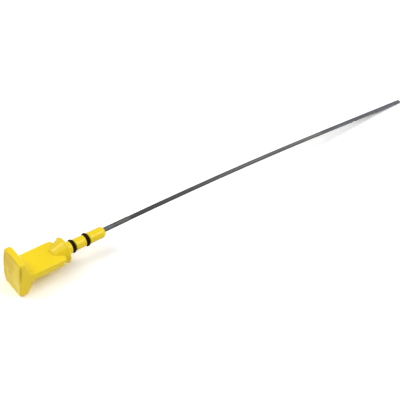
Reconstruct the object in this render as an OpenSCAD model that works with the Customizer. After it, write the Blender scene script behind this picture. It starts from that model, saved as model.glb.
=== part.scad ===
// Engine oil dipstick. A moulded pull handle carries an end plate, a flat web, a cone
// with a flange that closes the guide tube, and a stem with two rubber seal rings. A
// steel rod leaves the nose of the stem, bows gently down and ends in a flattened
// measuring blade with two level notches in one edge.
// X runs along the stem from the handle to the blade, Y across the web, Z up. The
// origin is the centre of the flange's seating face. The stick lies on the lower edge
// of its end plate and on the tip of its blade.
// Lengths are in millimetres.

/* [End plate] */
// Height of the end plate
plate_h = 45.6; // [42:0.2:54]
// Height of the plate's middle above the axis of the stem
plate_rise = 1.4; // [0:0.1:3]
// Width of the end plate and of the web
handle_w = 29.4; // [26:0.2:34]
// Thickness of the plate at its upper tip
upper_t = 7.8; // [6:0.1:9]
// Thickness of the fuller heel at its lower tip
lower_t = 12; // [9:0.1:13]
// Depth of the plate where its upper back meets the web
upper_root_x = 14.6; // [12:0.2:17]
// Depth of the plate where its lower back meets the web
lower_root_x = 15.4; // [12:0.2:17]
// Radius of the crown on the outer face
crown_r = 200; // [120:5:400]
// Height of the crown's outermost line above the middle of the plate
crown_rise = 6; // [0:0.5:8]
// Corner radius of the plate seen from its outer face
plate_corner_r = 4.6; // [4:0.2:7]
// Rounding of the outer edge at the tips
tip_front_r = 1.6; // [0.8:0.1:2.4]
// Rounding of the back edge at the upper tip
upper_back_r = 3.2; // [2:0.1:3.6]
// Rounding of the heel at the lower tip
lower_back_r = 4.6; // [3.6:0.1:6]
// Rounding of the upright edges of the outer face
side_front_r = 1.6; // [0.8:0.1:2.4]
// Rounding of the edges at the two sides of the back
side_back_r = 2.8; // [1.6:0.1:4]
// Reach of the flare where the web grows out of the plate
root_flare = 2.6; // [1.5:0.1:4]
// Border left around the shallow panel in the outer face
panel_border = 3.4; // [2.5:0.1:5]
// Depth of the shallow panel
panel_depth = 0.7; // [0.3:0.1:1.2]
// Corner radius of the shallow panel
panel_corner_r = 2; // [1:0.25:3]

/* [Web] */
// Thickness of the web
web_t = 9; // [7:0.1:10]
// Rounding of the long edges of the web
web_edge_r = 1.6; // [0.8:0.1:2.4]
// Radius of the two front corners of the web seen from above
web_front_r = 3.6; // [2.6:0.2:7]
// Gap from the front of the web to the seating face
web_gap = 5.8; // [4:0.1:10]
// Diameter of the shallow ejector mark on the web
mark_d = 2.6; // [1.5:0.1:4]
// Depth of the ejector mark
mark_depth = 0.3; // [0.1:0.05:0.5]
// Distance from the outer face to the ejector mark
mark_x = 20.5; // [20:0.5:30]

/* [Cone and flange] */
// Distance from the outer face of the plate to the seating face
handle_l = 58.6; // [50:0.2:75]
// Diameter of the flange
flange_d = 27.2; // [24:0.2:32]
// Thickness of the flange rim
flange_t = 1.8; // [1.4:0.1:3]
// Rounding of the flange rim
flange_r = 0.6; // [0.3:0.1:0.7]
// Length of the cone behind the flange
cone_l = 13.8; // [10:0.2:16]
// Radius of the cone at its small end
cone_small_r = 6.8; // [6:0.1:8]
// Bevel around the small end of the cone
cone_bevel = 1.2; // [0.6:0.1:2]
// Step from the rim of the flange to the large end of the cone
cone_step = 0.8; // [0.5:0.1:2]

/* [Stem] */
// Diameter of the stem
stem_d = 12; // [10:0.1:14]
// Length of the stem from the seating face to the end of the nose
stem_l = 48; // [45:0.5:60]
// Diameter of the collar in front of the flange
collar_d = 12.8; // [12.4:0.1:14.4]
// Radius of the rounded nose
nose_r = 4.8; // [3:0.1:5]

/* [Seal rings] */
// Section diameter of the seal rings
seal_section = 4; // [3:0.1:4.1]
// Outer diameter of the seal rings
seal_d = 14.1; // [13.6:0.1:15]
// Length of the collar, from the seating face to the first groove
collar_l = 7; // [5:0.1:9]
// Distance between the two grooves
groove_pitch = 16.4; // [14:0.1:20]
// Width of each groove
groove_w = 4.4; // [4.4:0.1:5.2]
// Clearance between a seal ring and its groove
seal_clearance = 0.04; // [0.02:0.01:0.1]

/* [Rod] */
// Distance from the outer face of the plate to the tip of the blade
overall_l = 607; // [560:1:700]
// Diameter of the rod
rod_d = 4.6; // [4:0.1:4.8]
// Height of the rod above the axis of the stem where it leaves the nose
rod_rise = 1.6; // [0:0.1:2]
// Diameter of the straight shank next to the nose
shank_d = 5; // [4.9:0.1:5.6]
// Length of the shank outside the nose
shank_l = 29; // [20:1:40]
// Depth of the socket in the stem that holds the shank
socket_l = 15; // [12:1:18]
// Radial clearance of the shank in its socket
shank_clearance = 0.04; // [0.02:0.01:0.1]

/* [Measuring blade] */
// Length of the flattened blade
blade_l = 176; // [150:1:200]
// Width of the blade
blade_w = 5.4; // [5:0.1:6]
// Thickness of the blade
blade_t = 1.8; // [1.4:0.1:2.4]
// Rounding of the long edges of the blade
blade_edge_r = 0.6; // [0.3:0.1:0.65]
// Length over which the round rod flattens into the blade
flatten_l = 12; // [8:1:16]
// Swell of the rod's diameter where it starts to flatten
swell = 0.2; // [0.1:0.05:0.4]
// Distance from the tip to the lower level notch
low_mark_x = 58; // [45:1:70]
// Distance between the lower and the upper level notch
mark_pitch = 45; // [30:1:60]
// Length of each level notch
notch_l = 6; // [3:0.5:8]
// Depth of the level notches
notch_depth = 1.1; // [0.5:0.1:1.5]

/* [Hidden] */
$fn = 96;
eps = 0.01;
over = 1;

// End plate
rest_z = plate_rise - plate_h / 2;
top_z = plate_rise + plate_h / 2;
top_drop = crown_x(top_z);
rest_drop = crown_x(rest_z);
ring_fn = 40;

// Seal rings
seal_r = seal_section / 2;
seal_ring_r = seal_d / 2 - seal_r;
groove_floor_r = seal_ring_r - seal_r - seal_clearance;
seal_1_x = collar_l + seal_clearance + seal_r;
seal_2_x = seal_1_x + groove_pitch;

// Rod
tip_x = overall_l - handle_l;
arc_start = stem_l + shank_l - over;
arc_l = tip_x - blade_l - arc_start;
rod_drop = rod_rise - rest_z - blade_t / 2;
rod_sweep = 2 * atan(rod_drop / (arc_l + 2 * blade_l));
bow_r = arc_l / sin(rod_sweep);
blade_start_z = bow_r * (cos(rod_sweep) - 1);
swell_d = rod_d + swell;
low_mark = blade_l - low_mark_x;
high_mark = low_mark - mark_pitch;
notch_r = (pow(notch_l / 2, 2) + pow(notch_depth, 2)) / (2 * notch_depth);

// Rectangle with round corners, centred on the origin
module round_rect(w, h, r, fn = 96) {
  square([w, h - 2 * r], center = true);
  square([w - 2 * r, h], center = true);
  for (sx = [-1, 1])
    for (sy = [-1, 1])
      translate([sx * (w / 2 - r), sy * (h / 2 - r)])
        circle(r, $fn = fn);
}

// Depth of the crowned outer face at height z
function crown_x(z) = crown_r - sqrt(crown_r * crown_r - pow(z - plate_rise - crown_rise, 2));

// Ring that stands across X, of outer radius r, its edge rounded by edge_r
module corner_ring(r, edge_r) {
  rotate([0, 90, 0])
    rotate_extrude($fn = ring_fn)
      intersection() {
        translate([r - edge_r, 0])
          circle(edge_r, $fn = ring_fn);
        translate([0, -edge_r])
          square(2 * edge_r + r);
      }
}

// Same ring left and right, near the two sides of the plate at height z. The outer face
// of the ring is at depth x, or its inner face where back is true.
module ring_pair(x, z, r, edge_r, back = false) {
  for (s = [-1, 1])
    translate([back ? x - edge_r : x + edge_r, s * (handle_w / 2 - r), z])
      corner_ring(r, edge_r);
}

// End plate with every edge rounded. Its outer face is crowned, and its back slopes
// from the depth at the web to the thinner tips.
module plate() {
  lower_corner_r = max(plate_corner_r, lower_back_r);
  hull() {
    ring_pair(top_drop, top_z - plate_corner_r, plate_corner_r, tip_front_r);
    ring_pair(rest_drop, rest_z + plate_corner_r, plate_corner_r, tip_front_r);
    ring_pair(top_drop + upper_t, top_z - plate_corner_r, plate_corner_r, upper_back_r, true);
    ring_pair(rest_drop + lower_t, rest_z + lower_corner_r, lower_corner_r, lower_back_r, true);
    ring_pair(upper_root_x, web_t / 2, side_back_r, side_back_r, true);
    ring_pair(lower_root_x, -web_t / 2, side_back_r, side_back_r, true);
    for (step = [-3:3]) {
      z = plate_rise + step * (plate_h / 2 - plate_corner_r) / 4;
      ring_pair(crown_x(z), z, side_front_r, side_front_r);
    }
  }
}

// Thin slice of the web at depth x, t thick
module web_slice(x, t) {
  translate([x, 0, 0])
    rotate([90, 0, 90])
      linear_extrude(eps)
        round_rect(handle_w, t, web_edge_r, ring_fn);
}

// Flare that carries the web out of the back of the plate
module web_root() {
  hull() {
    web_slice(lower_root_x - root_flare, web_t + 3 * root_flare);
    web_slice(upper_root_x + root_flare, web_t);
  }
}

// Shallow panel in the outer face, its floor following the crown
module panel() {
  translate([0, 0, plate_rise])
    difference() {
      translate([-over, 0, 0])
        rotate([90, 0, 90])
          linear_extrude(rest_drop + panel_depth + over)
            round_rect(handle_w - 2 * panel_border, plate_h - 2 * panel_border, panel_corner_r);
      translate([crown_r + panel_depth, 0, crown_rise])
        rotate([90, 0, 0])
          cylinder(r = crown_r, h = handle_w, center = true, $fn = 1440);
    }
}

// Flat web from the plate to just short of the flange, with two round front corners
module web() {
  corner_x = handle_l - web_gap - web_front_r;
  corner_y = handle_w / 2 - web_front_r;
  hull() {
    web_slice(upper_root_x / 2, web_t);
    for (sy = [-1, 1])
      for (sz = [-1, 1])
        translate([corner_x, sy * corner_y, sz * (web_t / 2 - web_edge_r)])
          rotate_extrude($fn = ring_fn)
            translate([web_front_r - web_edge_r, 0])
              intersection() {
                circle(web_edge_r, $fn = ring_fn);
                translate([web_edge_r - web_front_r, -web_edge_r])
                  square([web_front_r, 2 * web_edge_r]);
              }
  }
}

// Ejector mark on the upper face of the web
module ejector_mark() {
  translate([mark_x, 0, web_t / 2 - mark_depth])
    cylinder(d = mark_d, h = over);
}

// Half section of cone, flange, collar, stem and nose, radius to the right
module plug_section() {
  core_r = stem_d / 2 - nose_r;
  flange_rim = flange_d / 2;
  cone_back = -flange_t - cone_l;
  difference() {
    union() {
      polygon([
        [0, cone_back],
        [cone_small_r - cone_bevel, cone_back],
        [cone_small_r, cone_back + cone_bevel / 2],
        [flange_rim - cone_step, -flange_t + eps],
        [0, -flange_t + eps]
      ]);
      translate([0, -flange_t])
        square([flange_rim - flange_r, flange_t]);
      translate([0, -flange_t + flange_r])
        square([flange_rim, flange_t - 2 * flange_r]);
      for (y = [-flange_r, flange_r - flange_t])
        translate([flange_rim - flange_r, y])
          circle(flange_r);
      translate([0, -eps])
        square([collar_d / 2, collar_l + eps]);
      square([stem_d / 2, stem_l - nose_r]);
      square([core_r, stem_l]);
      translate([core_r, stem_l - nose_r])
        circle(nose_r);
    }
    for (y = [collar_l, collar_l + groove_pitch])
      translate([groove_floor_r, y])
        square([stem_d, groove_w]);
    translate([-stem_d, cone_back - over])
      square([stem_d, stem_l - cone_back + 2 * over]);
  }
}

module plug() {
  rotate([0, 90, 0])
    rotate_extrude($fn = 144)
      plug_section();
}

// Socket in the stem for the shank
module socket() {
  translate([stem_l - socket_l, 0, rod_rise])
    rotate([0, 90, 0])
      cylinder(r = shank_d / 2 + shank_clearance, h = socket_l + over);
}

module handle() {
  color([0.95, 0.78, 0.12])
    difference() {
      union() {
        translate([-handle_l, 0, 0]) {
          difference() {
            plate();
            panel();
          }
          difference() {
            union() {
              web_root();
              web();
            }
            ejector_mark();
          }
        }
        plug();
      }
      socket();
    }
}

module seal(x) {
  color([0.08, 0.07, 0.06])
    translate([x, 0, 0])
      rotate([0, 90, 0])
        rotate_extrude($fn = 96)
          translate([seal_ring_r, 0])
            circle(seal_r, $fn = 40);
}

module upper_seal() {
  seal(seal_1_x);
}

module lower_seal() {
  seal(seal_2_x);
}

// Puts its children at the end of the bowed part, X along the blade
module at_blade() {
  translate([tip_x - blade_l, 0, blade_start_z])
    rotate([0, rod_sweep, 0])
      children();
}

// Bowed part of the rod, an arc in the upright plane that starts level in the shank
module bowed_rod() {
  translate([arc_start, 0, -bow_r])
    rotate([90, 0, 0])
      rotate([0, 0, 90 - rod_sweep])
        rotate_extrude(angle = rod_sweep, $fn = 2048)
          translate([bow_r, 0])
            circle(d = rod_d, $fn = 40);
}

// Blade seen from above, tapering out of the rod and round at its tip
module blade_plan() {
  polygon([
    [-flatten_l / 2, -rod_d / 4],
    [flatten_l, -blade_w / 2],
    [blade_l - blade_w / 2, -blade_w / 2],
    [blade_l - blade_w / 2, blade_w / 2],
    [flatten_l, blade_w / 2],
    [-flatten_l / 2, rod_d / 4]
  ]);
  translate([blade_l - blade_w / 2, 0])
    circle(d = blade_w);
}

// Cuts above and below that flatten the round rod into the blade
module flattening_cuts() {
  fall = atan((swell_d - blade_t) / 2 / flatten_l);
  for (s = [0, 1])
    mirror([0, 0, s])
      translate([0, 0, swell_d / 2])
        rotate([0, fall, 0])
          translate([0, -rod_d, 0])
            cube([3 * flatten_l, 2 * rod_d, rod_d]);
}

module blade() {
  difference() {
    union() {
      difference() {
        translate([-over, 0, 0])
          rotate([0, 90, 0])
            cylinder(d = swell_d, h = flatten_l + over);
        flattening_cuts();
      }
      intersection() {
        linear_extrude(blade_t, center = true)
          blade_plan();
        translate([-flatten_l, 0, 0])
          rotate([90, 0, 90])
            linear_extrude(blade_l + 2 * flatten_l)
              round_rect(blade_w + eps, blade_t + eps, blade_edge_r);
      }
    }
    for (x = [low_mark, high_mark])
      translate([x, notch_depth - notch_r - blade_w / 2, 0])
        cylinder(r = notch_r, h = 2 * blade_t, center = true);
  }
}

module rod() {
  color([0.42, 0.43, 0.44])
    translate([0, 0, rod_rise]) {
      translate([stem_l - socket_l, 0, 0])
        rotate([0, 90, 0])
          cylinder(d = shank_d, h = socket_l + shank_l);
      bowed_rod();
      at_blade()
        blade();
    }
}

handle();
upper_seal();
lower_seal();
rod();
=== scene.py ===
# %% [markdown]
# Engine oil dipstick, dressed for its picture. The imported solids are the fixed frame: a
# yellow moulded handle, two rubber seal rings and a steel rod. This lesson gives each of
# them the surface it has on the real thing, then adds the camera, the floor and the light.

# %% Load the frame
import math

import bmesh
import bpy
from mathutils import Matrix, Vector


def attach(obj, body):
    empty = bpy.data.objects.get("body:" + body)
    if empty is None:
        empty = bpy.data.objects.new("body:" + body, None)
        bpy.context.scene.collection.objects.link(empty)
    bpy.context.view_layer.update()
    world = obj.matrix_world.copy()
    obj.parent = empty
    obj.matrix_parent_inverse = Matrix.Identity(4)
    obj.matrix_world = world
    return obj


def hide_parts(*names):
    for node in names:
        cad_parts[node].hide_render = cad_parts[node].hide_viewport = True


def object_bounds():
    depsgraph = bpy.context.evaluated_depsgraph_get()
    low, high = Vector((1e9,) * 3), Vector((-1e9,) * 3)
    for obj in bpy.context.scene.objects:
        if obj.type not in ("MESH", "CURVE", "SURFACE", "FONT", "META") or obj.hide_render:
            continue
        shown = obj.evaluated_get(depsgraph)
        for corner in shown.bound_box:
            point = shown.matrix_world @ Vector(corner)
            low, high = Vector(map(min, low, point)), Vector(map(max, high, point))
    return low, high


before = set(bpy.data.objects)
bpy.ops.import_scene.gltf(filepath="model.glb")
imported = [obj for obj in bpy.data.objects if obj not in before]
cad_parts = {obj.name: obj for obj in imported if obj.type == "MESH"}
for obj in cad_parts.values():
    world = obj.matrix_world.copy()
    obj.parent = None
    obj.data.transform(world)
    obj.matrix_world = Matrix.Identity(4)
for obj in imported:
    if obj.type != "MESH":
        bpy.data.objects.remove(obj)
cad_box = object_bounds()
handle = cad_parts["handle"]
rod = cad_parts["rod"]
print("nodes:", sorted(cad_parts))

# %% [markdown]
# The camera stands where the photograph was taken: above the left end of the stick, close
# to the handle, looking down along the rod so that the rod runs away to the right. The
# camera was also turned a little about its own line of sight. Its place was worked out from
# the corners of the end plate, the seal rings and the tip of the rod.

# %% Camera
view_from = Vector((-0.31640, -0.43285, 0.57520))
view_to = Vector((0.17963, -0.00212, -0.02140))
view_roll = math.radians(11.79)
focal_px = 797.0
picture_px = 400
sensor_mm = 36.0

camera_data = bpy.data.cameras.new("camera")
camera_data.sensor_width = sensor_mm
camera_data.lens = focal_px / picture_px * sensor_mm
camera_data.clip_start = 0.01
camera = bpy.data.objects.new("camera", camera_data)
bpy.context.collection.objects.link(camera)
aim = (view_to - view_from).to_track_quat("-Z", "Y").to_matrix().to_4x4()
camera.matrix_world = Matrix.Translation(view_from) @ aim @ Matrix.Rotation(view_roll, 4, "Z")
bpy.context.scene.camera = camera
print("lens", round(camera_data.lens, 2), "mm")
print("distance", round((view_to - view_from).length, 3), "m")


# %% [markdown]
# Every finish is a small network of nodes. These helpers make a new material, add a node to
# it, and stretch a noise over the piece in its own coordinates, in metres. Others blend two
# colours by such a noise, spread it between two values, and turn it into a fine bump.

# %% Node helpers
def new_finish(name):
    material = bpy.data.materials.new(name)
    material.use_nodes = True
    tree = material.node_tree
    return material, tree, tree.nodes["Principled BSDF"]


def add_node(tree, kind, **values):
    node = tree.nodes.new(kind)
    for key, value in values.items():
        if key in node.inputs.keys():
            node.inputs[key].default_value = value
        else:
            setattr(node, key, value)
    return node


def noise_on(tree, scale, stretch=(1, 1, 1), detail=4.0):
    where = add_node(tree, "ShaderNodeTexCoord")
    mapping = add_node(tree, "ShaderNodeMapping", Scale=stretch)
    noise = add_node(tree, "ShaderNodeTexNoise", Scale=scale, Detail=detail, Roughness=0.55)
    tree.links.new(where.outputs["Object"], mapping.inputs["Vector"])
    tree.links.new(mapping.outputs["Vector"], noise.inputs["Vector"])
    return noise.outputs["Fac"]


def blend_of(tree, factor, first, second):
    mix = add_node(tree, "ShaderNodeMix", data_type="RGBA")
    tree.links.new(factor, mix.inputs["Factor"])
    mix.inputs["A"].default_value = (*first, 1)
    mix.inputs["B"].default_value = (*second, 1)
    return mix.outputs["Result"]


def spread(tree, value, low, high):
    ramp = add_node(tree, "ShaderNodeMapRange")
    ramp.inputs["To Min"].default_value = low
    ramp.inputs["To Max"].default_value = high
    tree.links.new(value, ramp.inputs["Value"])
    return ramp.outputs["Result"]


def bump_from(tree, shader, height, depth, strength):
    bump = add_node(tree, "ShaderNodeBump", Strength=strength, Distance=depth)
    tree.links.new(height, bump.inputs["Height"])
    tree.links.new(bump.outputs["Normal"], shader.inputs["Normal"])


print("helpers ready")

# %% [markdown]
# The yellow changes a little in places: a dull spot where the plastic entered the mould, and
# painted light and shade on the plate: a painted highlight along a fold below the spot, a
# painted tan sheen on the upper outer face and a painted reflection that makes the lower one
# paler, painted shade under the top rim and down the side by the front edge, and a warmer
# heel. Each one is a soft patch. A Mapping node measures the piece in the patch's own radii,
# and the distance from its centre fades the tone out.

# %% Mould spot and painted light
mark_core = 0.35

# What it is, its centre and its radii in millimetres, its turn about X in degrees, its tone
mould_spot_and_painted_light = (
    ("gate spot", (-58.2, 3.0, 0.8), (4.0, 3.4, 3.2), 0, (0.78, 0.72, 0.10)),
    # painted shade: the dark line where the top rim's inner wall faces down
    ("painted shade under the rim", (-58.0, 0, 22.6), (3.0, 17, 2.0), 0, (0.84, 0.78, 0.40)),
    # painted sheen: the upper outer face turned browner, as a tan reflection
    ("painted tan sheen", (-58.4, 4.3, 12.5), (4.0, 13, 13), 0, (0.88, 0.81, 1.05)),
    # painted reflection: the lower outer face made paler and less yellow, as white floor seen in
    # it
    ("painted floor reflection", (-58.4, -8.5, -3.0), (4.0, 9, 22), 0, (1.06, 1.10, 5.0)),
    # painted highlight: a pale line along a fold of the outer face
    ("painted highlight on the fold", (-58.6, -2.3, -7.4), (4.0, 10, 1.7), -15.5, (1.04, 1.10, 3.0)),
    # painted shade: a dark band down the upper half of the near side, by the front edge
    ("painted shade by the side edge", (-57.0, -15.2, 12.5), (1.9, 3.5, 16), 0, (0.80, 0.71, 0.25)),
    ("warm heel", (-53.5, -15.2, -15.5), (5.0, 3.5, 8.0), 0, (1.08, 1.00, 0.60)),
)


def mark_at(tree, centre_mm, radii_mm, turn):
    where = add_node(tree, "ShaderNodeTexCoord")
    local = add_node(tree, "ShaderNodeMapping", vector_type="TEXTURE")
    local.inputs["Location"].default_value = [v / 1000 for v in centre_mm]
    local.inputs["Rotation"].default_value = (math.radians(turn), 0, 0)
    local.inputs["Scale"].default_value = [v / 1000 for v in radii_mm]
    far = add_node(tree, "ShaderNodeVectorMath", operation="LENGTH")
    fade = add_node(tree, "ShaderNodeMapRange", interpolation_type="SMOOTHSTEP")
    fade.inputs["From Min"].default_value = mark_core
    fade.inputs["From Max"].default_value = 1.0
    fade.inputs["To Min"].default_value = 1.0
    fade.inputs["To Max"].default_value = 0.0
    tree.links.new(where.outputs["Object"], local.inputs["Vector"])
    tree.links.new(local.outputs["Vector"], far.inputs[0])
    tree.links.new(far.outputs["Value"], fade.inputs["Value"])
    return fade.outputs["Result"]


print("marks:", [mark[0] for mark in mould_spot_and_painted_light])


# %% [markdown]
# The handle is one moulding in a warm signal yellow. Thick moulded plastic lets a little
# light in, so its shaded sides stay warm, and its gloss is broken by a very fine texture.
# The mould spot and the patches of painted shade, highlight, sheen and reflection are
# multiplied onto the yellow one after another.

# %% Yellow plastic
def yellow_plastic():
    material, tree, shader = new_finish("yellow_plastic")
    cloud = noise_on(tree, 55.0, detail=3.0)
    colour = blend_of(tree, cloud, (0.84, 0.625, 0.007), (0.88, 0.66, 0.012))
    for name, centre, radii, turn, tone in mould_spot_and_painted_light:
        tint = add_node(tree, "ShaderNodeMix", label=name, data_type="RGBA", blend_type="MULTIPLY")
        tree.links.new(mark_at(tree, centre, radii, turn), tint.inputs["Factor"])
        tree.links.new(colour, tint.inputs["A"])
        tint.inputs["B"].default_value = (*tone, 1)
        colour = tint.outputs["Result"]
    tree.links.new(colour, shader.inputs["Base Color"])
    grain = noise_on(tree, 2600.0, detail=2.0)
    tree.links.new(spread(tree, grain, 0.14, 0.22), shader.inputs["Roughness"])
    shader.inputs["Specular IOR Level"].default_value = 0.24
    shader.inputs["Subsurface Weight"].default_value = 0.12
    shader.inputs["Subsurface Radius"].default_value = (0.004, 0.0025, 0.0006)
    shader.inputs["Subsurface Scale"].default_value = 1.0
    bump_from(tree, shader, grain, 0.00003, 0.5)
    return material


plastic = yellow_plastic()
print("the handle will wear", plastic.name)

# %% [markdown]
# A moulded handle has no sharp corner anywhere: the plastic runs in a soft cove from the end
# plate into the web. The solid's coves are tighter than that. A bevel can't follow edges
# that run into each other as these do, so the handle shown is a skin. A merged copy of the
# solid is remeshed into an even net of faces, small enough to keep the panel and grooves.

# %% Skin of the handle
skin_cell = 0.0004


def skin_over(node, name, cell):
    copy = bmesh.new()
    copy.from_mesh(node.data)
    bmesh.ops.remove_doubles(copy, verts=copy.verts, dist=1e-6)
    bmesh.ops.recalc_face_normals(copy, faces=copy.faces)
    mesh = bpy.data.meshes.new(name)
    copy.to_mesh(mesh)
    copy.free()
    piece = bpy.data.objects.new(name, mesh)
    bpy.context.collection.objects.link(piece)
    remesh = piece.modifiers.new("remesh", "REMESH")
    remesh.mode = "VOXEL"
    remesh.voxel_size = cell
    remesh.use_smooth_shade = True
    finished = piece.evaluated_get(bpy.context.evaluated_depsgraph_get())
    piece.data = bpy.data.meshes.new_from_object(finished)
    piece.modifiers.clear()
    piece.data.name = name
    return piece


moulded = skin_over(handle, "moulded_handle", skin_cell)
print("skin faces:", len(moulded.data.polygons))

# %% [markdown]
# Relaxing moves each point of the net towards the middle of its neighbours, which rounds
# what is sharp and leaves flat faces alone. A few rounds soften every edge, and many rounds
# where the web meets the plate open the cove. The heel at the foot of the plate is slimmer
# than the solid's, so its back is also drawn in, the more the lower and further back it is.

# %% Soften the skin
heel_top, heel_fade = -0.009, 0.008
heel_front, heel_deepens = -0.056, 0.006
heel_taper = 0.0014


def relax(net, rounds, wanted):
    points = [p for p in net.verts if wanted(p.co * 1000)]
    for _ in range(rounds):
        bmesh.ops.smooth_vert(net, verts=points, factor=0.5,
                              use_axis_x=True, use_axis_y=True, use_axis_z=True)
    print("relaxed", len(points), "points in", rounds, "rounds")


def share_of(length, whole):
    return min(max(length / whole, 0), 1)


net = bmesh.new()
net.from_mesh(moulded.data)
relax(net, 4, lambda p: True)
relax(net, 30, lambda p: -53 < p.x < -36 and abs(p.z) < 12)
for point in net.verts:
    down = share_of(heel_top - point.co.z, heel_fade)
    back = share_of(point.co.x - heel_front, heel_deepens)
    point.co.x -= heel_taper * down * back
relax(net, 6, lambda p: p.z < -6)
net.to_mesh(moulded.data)
net.free()
moulded.data.shade_smooth()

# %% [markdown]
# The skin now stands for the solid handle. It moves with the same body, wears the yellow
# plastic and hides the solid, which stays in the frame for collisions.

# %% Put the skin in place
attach(moulded, "root")
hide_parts("handle")
moulded.data.materials.clear()
moulded.data.materials.append(plastic)
print(moulded.name, "wears", plastic.name)


# %% [markdown]
# The seal rings are oil-resistant rubber, nearly black with a brown cast, satin rather than
# glossy, with a fine moulded grain.

# %% Black rubber
def black_rubber():
    material, tree, shader = new_finish("black_rubber")
    cloud = noise_on(tree, 300.0)
    colour = blend_of(tree, cloud, (0.009, 0.004, 0.0008), (0.015, 0.007, 0.0012))
    tree.links.new(colour, shader.inputs["Base Color"])
    shader.inputs["Specular IOR Level"].default_value = 0.05
    tree.links.new(spread(tree, cloud, 0.42, 0.60), shader.inputs["Roughness"])
    grain = noise_on(tree, 4000.0, detail=2.0)
    bump_from(tree, shader, grain, 0.00003, 0.6)
    return material


rubber = black_rubber()
for name in ("upper_seal", "lower_seal"):
    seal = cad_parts[name]
    seal.data.materials.clear()
    seal.data.materials.append(rubber)
print("seals wear", rubber.name)

# %% [markdown]
# The rod's tone changes along the stick: the shank by the nose is a middle grey, the next
# stretch is dark, and from there it grows lighter, and a little bluer, towards the flat blade.
# A colour ramp over X, in metres from the flange, gives every stretch its grey.

# %% Tones along the rod
ramp_reach = 0.55
shank_grey = (0.070, 0.080, 0.084)
tip_grey = (0.075, 0.080, 0.092)
rod_greys = (
    (0.056, shank_grey),
    (0.060, (0.060, 0.060, 0.058)),
    (0.077, (0.072, 0.070, 0.068)),
    (0.081, (0.035, 0.037, 0.038)),
    (0.140, (0.042, 0.042, 0.042)),
    (0.240, (0.068, 0.068, 0.068)),
    (0.360, (0.095, 0.095, 0.095)),
    (0.400, (0.090, 0.096, 0.105)),
)


def grey_along(tree):
    where = add_node(tree, "ShaderNodeTexCoord")
    parts = add_node(tree, "ShaderNodeSeparateXYZ")
    along = add_node(tree, "ShaderNodeMapRange")
    along.inputs["From Max"].default_value = ramp_reach
    greys = add_node(tree, "ShaderNodeValToRGB")
    tree.links.new(where.outputs["Object"], parts.inputs["Vector"])
    tree.links.new(parts.outputs["X"], along.inputs["Value"])
    tree.links.new(along.outputs["Result"], greys.inputs["Fac"])
    stops = greys.color_ramp.elements
    stops[0].position, stops[0].color = 0.0, (*shank_grey, 1)
    stops[1].position, stops[1].color = 1.0, (*tip_grey, 1)
    for x, grey in rod_greys:
        stops.new(x / ramp_reach).color = (*grey, 1)
    return greys.outputs["Color"]


print("greys between flange and tip:", len(rod_greys) + 2)


# %% [markdown]
# The rod is drawn spring steel, dull and dark. Drawing leaves fine scratches and streaks
# along it, so both of its noises are stretched along X.

# %% Dull steel
def dull_steel():
    material, tree, shader = new_finish("dull_steel")
    streaks = noise_on(tree, 260.0, stretch=(0.05, 1, 1), detail=3.0)
    shade = add_node(tree, "ShaderNodeMix", data_type="RGBA", blend_type="MULTIPLY")
    shade.inputs["Factor"].default_value = 1.0
    streak_tone = blend_of(tree, streaks, (0.40, 0.40, 0.41), (1.60, 1.60, 1.59))
    tree.links.new(grey_along(tree), shade.inputs["A"])
    tree.links.new(streak_tone, shade.inputs["B"])
    tree.links.new(shade.outputs["Result"], shader.inputs["Base Color"])
    shader.inputs["Metallic"].default_value = 0.85
    scratch = noise_on(tree, 900.0, stretch=(0.03, 1, 1), detail=3.0)
    tree.links.new(spread(tree, scratch, 0.38, 0.58), shader.inputs["Roughness"])
    bump_from(tree, shader, scratch, 0.00004, 0.5)
    return material


steel = dull_steel()
rod.data.materials.clear()
rod.data.materials.append(steel)
print("rod wears", steel.name)

# %% [markdown]
# The floor is a plain white sheet. Its own white comes just up to white under the lamps, and
# that is what plastic and steel reflect. The camera alone sees a somewhat brighter white, so
# that the open floor is clean and only the nearer, darker part of the soft shadow shows.

# %% Floor
floor_z = cad_box[0][2]
floor_white = (0.90, 0.895, 0.89, 1)
camera_white = (1.18, 1.175, 1.17, 1)
sheet = bmesh.new()
bmesh.ops.create_grid(sheet, x_segments=1, y_segments=1, size=4.0)
bmesh.ops.translate(sheet, verts=sheet.verts, vec=(0, 0, floor_z))
floor_mesh = bpy.data.meshes.new("floor")
sheet.to_mesh(floor_mesh)
sheet.free()
floor = bpy.data.objects.new("floor", floor_mesh)
bpy.context.collection.objects.link(floor)


def white_floor():
    material, tree, shader = new_finish("white_floor")
    tree.nodes.remove(shader)
    path = add_node(tree, "ShaderNodeLightPath")
    plain = add_node(tree, "ShaderNodeBsdfDiffuse", Color=floor_white)
    bright = add_node(tree, "ShaderNodeBsdfDiffuse", Color=camera_white)
    pick = add_node(tree, "ShaderNodeMixShader")
    tree.links.new(path.outputs["Is Camera Ray"], pick.inputs["Fac"])
    tree.links.new(plain.outputs["BSDF"], pick.inputs[1])
    tree.links.new(bright.outputs["BSDF"], pick.inputs[2])
    tree.links.new(pick.outputs["Shader"], tree.nodes["Material Output"].inputs["Surface"])
    return material


floor.data.materials.append(white_floor())
print("floor at z", round(floor_z, 4))

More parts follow.
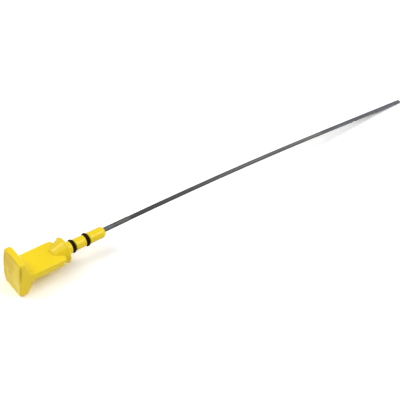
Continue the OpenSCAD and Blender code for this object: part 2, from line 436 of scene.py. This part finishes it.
# %% [markdown]
# A small glossy part like this is pictured in a light tent: white cloth all round, lit from
# outside. Each lit patch of the tent could be a panel lamp, but a panel close by would light
# the near end of this long stick more than the far end. A sun with a wide disc lights the
# whole length evenly, and the disc keeps its shadow soft. Every patch has the compass turn
# from +X, the height above the floor, the width of its disc and its share of the light.

# %% Light
def tent_patch(name, turn, height, width, share):
    turn, height = math.radians(turn), math.radians(height)
    way = Vector((math.cos(height) * math.cos(turn),
                  math.cos(height) * math.sin(turn),
                  math.sin(height)))
    data = bpy.data.lights.new(name, "SUN")
    data.angle = math.radians(width)
    data.energy = math.pi * share
    lamp = bpy.data.objects.new(name, data)
    bpy.context.collection.objects.link(lamp)
    lamp.rotation_euler = way.to_track_quat("Z", "Y").to_euler()


tent_patch("roof", 180, 75, 60, 0.42)
tent_patch("back_left", 135, 50, 25, 0.38)
tent_patch("front_right", 315, 50, 25, 0.31)
tent_patch("right", 0, 30, 25, 0.21)
tent_patch("low_left", 180, 12, 25, 0.12)
tent_patch("low_right", 315, 12, 25, 0.16)
print("lamps:", [lamp.name for lamp in bpy.data.lights])

# %% [markdown]
# The cloth itself shows as an even white, to the eye and in the gloss of the plastic and
# steel. It adds nothing to the light on dull surfaces, which the patches already give.

# %% Surround
world = bpy.data.worlds.new("surround")
world.use_nodes = True
tree = world.node_tree
path = add_node(tree, "ShaderNodeLightPath")
direct = add_node(tree, "ShaderNodeMath", operation="MAXIMUM")
seen = add_node(tree, "ShaderNodeMath", operation="MAXIMUM")
tree.links.new(path.outputs["Is Camera Ray"], direct.inputs[0])
tree.links.new(path.outputs["Is Glossy Ray"], direct.inputs[1])
tree.links.new(direct.outputs["Value"], seen.inputs[0])
tree.links.new(path.outputs["Is Transmission Ray"], seen.inputs[1])
tree.nodes["Background"].inputs["Color"].default_value = (1, 1, 1, 1)
tree.links.new(seen.outputs["Value"], tree.nodes["Background"].inputs["Strength"])
bpy.context.scene.world = world
bpy.context.scene.view_settings.view_transform = "Standard"
print("world:", world.name)

# %% Finish
print("scene built")
